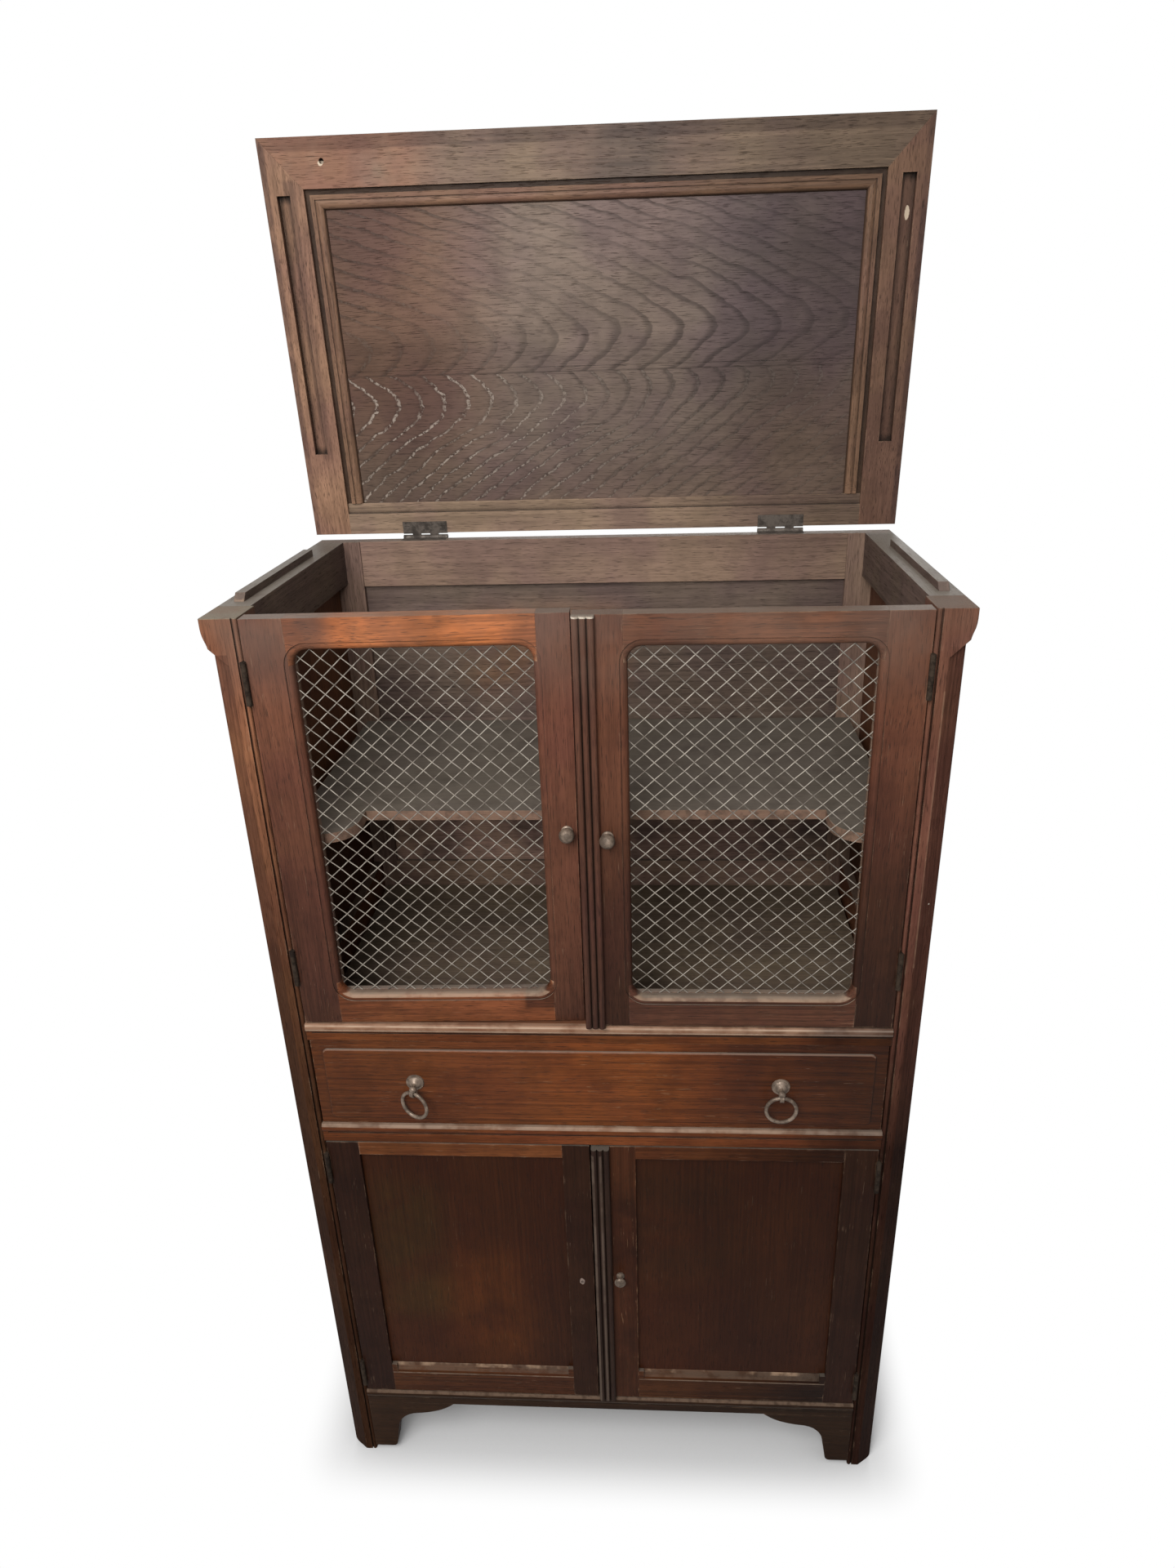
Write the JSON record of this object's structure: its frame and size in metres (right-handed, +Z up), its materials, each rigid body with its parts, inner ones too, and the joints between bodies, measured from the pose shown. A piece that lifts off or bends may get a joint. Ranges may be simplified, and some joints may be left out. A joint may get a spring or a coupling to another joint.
{
  "type": "pie safe",
  "caption": "Free-standing oak pie safe with mesh doors over a drawer, panelled doors below and a lift-up lid.",
  "frame": {"origin": "bottom centre of the whole cupboard as it stands, on the floor, lid open", "axes": "+X to the right seen from the front, +Y to the back, +Z up; the front faces -Y"},
  "size_m": [0.776, 0.473, 1.7082],
  "materials": {
    "post_oak": "dark stained oak, waxed",
    "case_oak": "dark stained oak",
    "inner_oak": "unpolished stained oak",
    "board_oak": "grey dusty board",
    "rail_oak": "stained oak, worn",
    "stile_oak": "red-brown stained oak",
    "panel_oak": "dark stained oak",
    "lid_oak": "brown oak, open grain",
    "wire": "dull galvanised wire",
    "brass": "aged brass",
    "hinge_steel": "dull dark iron"
  },
  "bodies": {
    "carcass": {"left_front_post": "post_oak", "right_front_post": "post_oak", "left_back_post": "inner_oak", "right_back_post": "inner_oak", "side_top_rails": "case_oak", "side_lower_rails": "case_oak", "side_panels": "case_oak", "lid_guide_strips": "case_oak", "back_rails": "inner_oak", "back_panels": "inner_oak", "door_sill_rail": "rail_oak", "drawer_sill_rail": "rail_oak", "bottom_front_rail": "rail_oak", "foot_brackets": "rail_oak", "compartment_floor": "board_oak", "cupboard_bottom": "inner_oak", "shelf": "board_oak", "bearers": "inner_oak", "drawer_runners": "inner_oak", "post_hinge_leaves": "hinge_steel", "hinge_pins": "hinge_steel", "lid_hinge_back_leaves": "hinge_steel"},
    "lid": {"lid_stiles": "lid_oak", "lid_rails": "lid_oak", "lid_boards": "lid_oak", "lid_mouldings": "lid_oak", "lid_hinge_leaves": "hinge_steel", "lid_hinge_screws": "hinge_steel"},
    "upper_left_door": {"upper_left_door_stiles": "stile_oak", "upper_left_door_rails": "rail_oak", "upper_left_door_mesh": "wire", "upper_left_door_mesh_beads": "stile_oak", "upper_left_door_hinge_leaves": "hinge_steel", "upper_left_door_knob": "brass"},
    "upper_right_door": {"upper_right_door_stiles": "stile_oak", "upper_right_door_rails": "rail_oak", "upper_right_door_mesh": "wire", "upper_right_door_mesh_beads": "stile_oak", "upper_right_door_hinge_leaves": "hinge_steel", "upper_right_door_knob": "brass", "upper_right_door_astragal": "stile_oak"},
    "lower_left_door": {"lower_left_door_stiles": "stile_oak", "lower_left_door_rails": "rail_oak", "lower_left_door_panel": "panel_oak", "lower_left_door_hinge_leaves": "hinge_steel"},
    "lower_right_door": {"lower_right_door_stiles": "stile_oak", "lower_right_door_rails": "rail_oak", "lower_right_door_panel": "panel_oak", "lower_right_door_hinge_leaves": "hinge_steel", "lower_right_door_knob": "brass", "lower_right_door_astragal": "stile_oak"},
    "drawer": {"drawer_front": "rail_oak", "drawer_sides": "inner_oak", "drawer_back": "inner_oak", "drawer_bottom": "inner_oak", "pull_rosettes": "brass", "left_pull_drop": "brass", "right_pull_drop": "brass"},
    "left_ring": {"left_pull_ring": "brass"},
    "right_ring": {"right_pull_ring": "brass"}
  },
  "joints": [
    {"name": "lid_hinge", "type": "hinge", "parent": "carcass", "child": "lid", "pos_m": [0, 0.21672, 1.24325], "axis": [-1, 0, 0], "range_deg": [-86, 94]},
    {"name": "upper_left_door_hinge", "type": "hinge", "parent": "carcass", "child": "upper_left_door", "pos_m": [-0.34075, -0.21635, 1], "axis": [0, 0, -1], "range_deg": [0, 165]},
    {"name": "upper_right_door_hinge", "type": "hinge", "parent": "carcass", "child": "upper_right_door", "pos_m": [0.34075, -0.21635, 1], "axis": [0, 0, 1], "range_deg": [0, 165]},
    {"name": "lower_left_door_hinge", "type": "hinge", "parent": "carcass", "child": "lower_left_door", "pos_m": [-0.34075, -0.21635, 0.354], "axis": [0, 0, -1], "range_deg": [0, 165]},
    {"name": "lower_right_door_hinge", "type": "hinge", "parent": "carcass", "child": "lower_right_door", "pos_m": [0.34075, -0.21635, 0.354], "axis": [0, 0, 1], "range_deg": [0, 165]},
    {"name": "drawer_slide", "type": "slide", "parent": "carcass", "child": "drawer", "axis": [0, -1, 0], "range_m": [0, 0.25]},
    {"name": "left_ring_swing", "type": "hinge", "parent": "drawer", "child": "left_ring", "pos_m": [-0.218, -0.22715, 0.6682], "axis": [-0.9135, 0.4067, 0], "range_deg": [-8, 100]},
    {"name": "right_ring_swing", "type": "hinge", "parent": "drawer", "child": "right_ring", "pos_m": [0.218, -0.22715, 0.6682], "axis": [-1, 0, 0], "range_deg": [-12, 100]}
  ]
}
